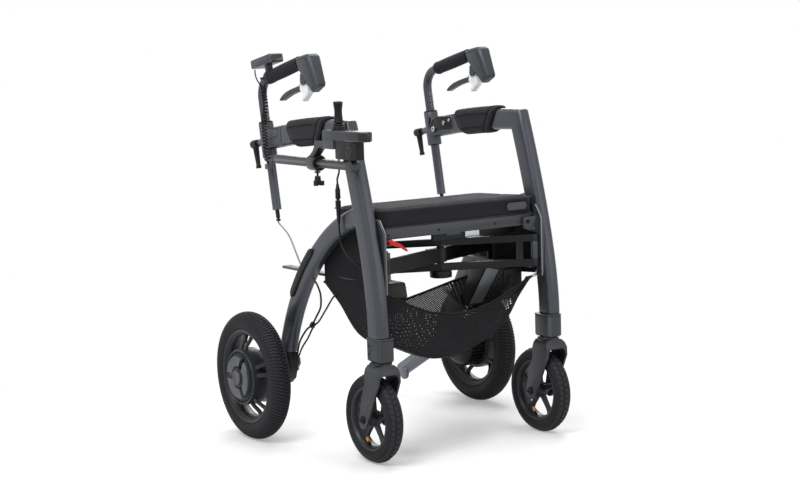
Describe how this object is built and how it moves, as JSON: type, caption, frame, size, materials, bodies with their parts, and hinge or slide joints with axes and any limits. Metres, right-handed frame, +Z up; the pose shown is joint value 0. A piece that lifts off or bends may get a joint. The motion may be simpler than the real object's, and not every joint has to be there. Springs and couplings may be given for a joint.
{
  "type": "rollator wheelchair",
  "caption": "Folding rollator that is also a powered wheelchair: curved tube sides, fold-up seat on a scissor cross, hub-motor wheels, swivel casters, brake handles, joystick.",
  "frame": {"origin": "on the floor, under the middle of the overall bounding box", "axes": "+Z up, the seated user faces -Y, the user's right hand and the joystick are at -X"},
  "size_m": [0.76, 0.7, 0.9259],
  "materials": {
    "frame_paint": "satin blue-grey metallic paint",
    "cast_metal": "satin paint on die-cast alloy",
    "black_steel": "satin black powder coat",
    "grey_steel": "satin grey powder coat",
    "light_alloy": "brushed light grey",
    "black_plastic": "matt black",
    "grey_plastic": "matt dark grey",
    "olive_plastic": "matt dark olive",
    "red_plastic": "gloss red",
    "soft_rubber": "matt black rubber",
    "tyre_rubber": "matt black tyre rubber",
    "pad_fabric": "woven charcoal cover over foam",
    "mesh_fabric": "black knitted mesh"
  },
  "bodies": {
    "frame_left": {"front_leg_left": "frame_paint", "rear_leg_left": "frame_paint", "arm_pad_left": "pad_fabric", "post_clamp_left": "cast_metal", "leg_collar_left": "cast_metal", "side_plate_left": "grey_steel", "axle_bracket_left": "black_steel", "tipping_bar_left": "light_alloy", "brake_cable_left": "soft_rubber", "battery_pack": "black_plastic", "basket": "mesh_fabric"},
    "frame_right": {"front_leg_right": "frame_paint", "rear_leg_right": "frame_paint", "arm_pad_right": "pad_fabric", "post_clamp_right": "cast_metal", "leg_collar_right": "cast_metal", "side_plate_right": "grey_steel", "axle_bracket_right": "black_steel", "tipping_bar_right": "light_alloy", "brake_cable_right": "soft_rubber", "controller_box": "olive_plastic", "mount_rod": "grey_steel", "joystick_cable": "soft_rubber", "motor_cable": "soft_rubber"},
    "seat": {"seat_panel": "grey_steel", "seat_cushion": "pad_fabric"},
    "cross_double": {"cross_arm_double": "black_steel"},
    "cross_single": {"cross_arm_single": "black_steel"},
    "caster_left": {"caster_fork_left": "black_plastic"},
    "caster_wheel_left": {"caster_rim_left": "grey_plastic", "caster_tyre_left": "tyre_rubber"},
    "drive_wheel_left": {"drive_rim_left": "grey_plastic", "drive_tyre_left": "tyre_rubber", "hub_motor_left": "black_plastic"},
    "bush_left": {"post_bush_left": "black_plastic"},
    "handle_left": {"handle_tube_left": "frame_paint", "grip_left": "soft_rubber", "brake_housing_left": "grey_plastic"},
    "brake_left": {"brake_lever_left": "black_plastic"},
    "clamp_lever_body_left": {"clamp_lever_left": "black_plastic"},
    "caster_right": {"caster_fork_right": "black_plastic"},
    "caster_wheel_right": {"caster_rim_right": "grey_plastic", "caster_tyre_right": "tyre_rubber"},
    "drive_wheel_right": {"drive_rim_right": "grey_plastic", "drive_tyre_right": "tyre_rubber", "hub_motor_right": "black_plastic"},
    "bush_right": {"post_bush_right": "black_plastic"},
    "handle_right": {"handle_tube_right": "frame_paint", "grip_right": "soft_rubber", "brake_housing_right": "grey_plastic", "display_unit": "grey_plastic", "curly_cord": "soft_rubber"},
    "brake_right": {"brake_lever_right": "black_plastic"},
    "clamp_lever_body_right": {"clamp_lever_right": "black_plastic"},
    "joystick": {"rod_clamp": "cast_metal", "joystick_housing": "grey_plastic"},
    "screw": {"thumbscrew": "black_plastic"},
    "gimbal": {"joystick_gaiter": "soft_rubber"},
    "stick": {"joystick_stick": "black_plastic"},
    "catch": {"release_lever": "red_plastic"}
  },
  "joints": [
    {"name": "fold", "type": "hinge", "parent": "frame_left", "child": "cross_double", "pos_m": [0.2095, -0.2745, 0.447], "axis": [0, 0, -1], "range_deg": [0, 46.75], "deforming": ["basket"]},
    {"name": "cross_turn", "type": "hinge", "parent": "cross_double", "child": "cross_single", "pos_m": [0, -0.1845, 0.447], "axis": [0, 0, -1], "range_deg": [-93.5, 0]},
    {"name": "frame_turn", "type": "hinge", "parent": "cross_single", "child": "frame_right", "pos_m": [-0.2095, -0.2745, 0.447], "axis": [0, 0, -1], "range_deg": [0, 46.75]},
    {"name": "seat_lift", "type": "hinge", "parent": "frame_left", "child": "seat", "pos_m": [0.19, -0.26, 0.515], "axis": [0, 1, 0], "range_deg": [0, 85], "deforming": ["seat_cushion"]},
    {"name": "caster_swivel_left", "type": "hinge", "parent": "frame_left", "child": "caster_left", "pos_m": [0.2385, -0.283, 0.235], "axis": [0, 0, 1], "continuous": true},
    {"name": "caster_spin_left", "type": "hinge", "parent": "caster_left", "child": "caster_wheel_left", "pos_m": [0.2385, -0.248, 0.102], "axis": [1, 0, 0], "continuous": true},
    {"name": "drive_spin_left", "type": "hinge", "parent": "frame_left", "child": "drive_wheel_left", "pos_m": [0.332, 0.145, 0.155], "axis": [1, 0, 0], "continuous": true},
    {"name": "handle_turn_left", "type": "hinge", "parent": "frame_left", "child": "bush_left", "pos_m": [0.2425, 0.1767, 0.675], "axis": [0, 0.1826, 0.9832], "range_deg": [0, 180], "deforming": ["brake_cable_left"]},
    {"name": "handle_slide_left", "type": "slide", "parent": "bush_left", "child": "handle_left", "axis": [0, 0.1826, 0.9832], "range_m": [-0.02, 0.1], "deforming": ["brake_cable_left"]},
    {"name": "brake_squeeze_left", "type": "hinge", "parent": "handle_left", "child": "brake_left", "pos_m": [0.2425, -0.0089, 0.8605], "axis": [1, 0, 0], "range_deg": [0, 16], "stiffness_Nm_per_rad": 1.2, "springref_deg": -5.73},
    {"name": "clamp_lever_turn_left", "type": "hinge", "parent": "frame_left", "child": "clamp_lever_body_left", "pos_m": [0.2425, 0.22, 0.70937], "axis": [0, 0.9832, -0.1826], "range_deg": [-60, 60]},
    {"name": "caster_swivel_right", "type": "hinge", "parent": "frame_right", "child": "caster_right", "pos_m": [-0.2385, -0.283, 0.235], "axis": [0, 0, 1], "continuous": true},
    {"name": "caster_spin_right", "type": "hinge", "parent": "caster_right", "child": "caster_wheel_right", "pos_m": [-0.2385, -0.248, 0.102], "axis": [1, 0, 0], "continuous": true},
    {"name": "drive_spin_right", "type": "hinge", "parent": "frame_right", "child": "drive_wheel_right", "pos_m": [-0.332, 0.145, 0.155], "axis": [1, 0, 0], "continuous": true},
    {"name": "handle_turn_right", "type": "hinge", "parent": "frame_right", "child": "bush_right", "pos_m": [-0.2425, 0.1767, 0.675], "axis": [0, -0.1826, -0.9832], "range_deg": [0, 180], "deforming": ["brake_cable_right", "curly_cord"]},
    {"name": "handle_slide_right", "type": "slide", "parent": "bush_right", "child": "handle_right", "axis": [0, 0.1826, 0.9832], "range_m": [-0.02, 0.1], "deforming": ["brake_cable_right", "curly_cord"]},
    {"name": "brake_squeeze_right", "type": "hinge", "parent": "handle_right", "child": "brake_right", "pos_m": [-0.2425, -0.0089, 0.8605], "axis": [1, 0, 0], "range_deg": [0, 16], "stiffness_Nm_per_rad": 1.2, "springref_deg": -5.73},
    {"name": "clamp_lever_turn_right", "type": "hinge", "parent": "frame_right", "child": "clamp_lever_body_right", "pos_m": [-0.2425, 0.22, 0.70937], "axis": [0, 0.9832, -0.1826], "range_deg": [-60, 60]},
    {"name": "rod_slide", "type": "slide", "parent": "frame_right", "child": "joystick", "axis": [0, 1, 0], "range_m": [-0.02, 0.03], "deforming": ["joystick_cable"]},
    {"name": "thumbscrew_turn", "type": "hinge", "parent": "joystick", "child": "screw", "pos_m": [-0.272, -0.093, 0.636], "axis": [0, 0, 1], "range_deg": [-90, 90]},
    {"name": "stick_fore", "type": "hinge", "parent": "joystick", "child": "gimbal", "pos_m": [-0.2785, -0.203, 0.756], "axis": [1, 0, 0], "range_deg": [-18, 18], "stiffness_Nm_per_rad": 0.4, "deforming": ["joystick_gaiter"]},
    {"name": "stick_side", "type": "hinge", "parent": "gimbal", "child": "stick", "pos_m": [-0.2785, -0.203, 0.756], "axis": [0, 1, 0], "range_deg": [-18, 18], "stiffness_Nm_per_rad": 0.4, "deforming": ["joystick_gaiter"]},
    {"name": "catch_lift", "type": "hinge", "parent": "frame_right", "child": "catch", "pos_m": [-0.2046, -0.2735, 0.5], "axis": [0, -1, 0], "range_deg": [0, 20], "stiffness_Nm_per_rad": 0.3, "springref_deg": -8.59}
  ],
  "couplings": [
    {"joint": "cross_turn", "follows": "fold", "ratio": -2},
    {"joint": "frame_turn", "follows": "fold", "ratio": 1},
    {"joint": "seat_lift", "follows": "fold", "ratio": 1.818}
  ]
}
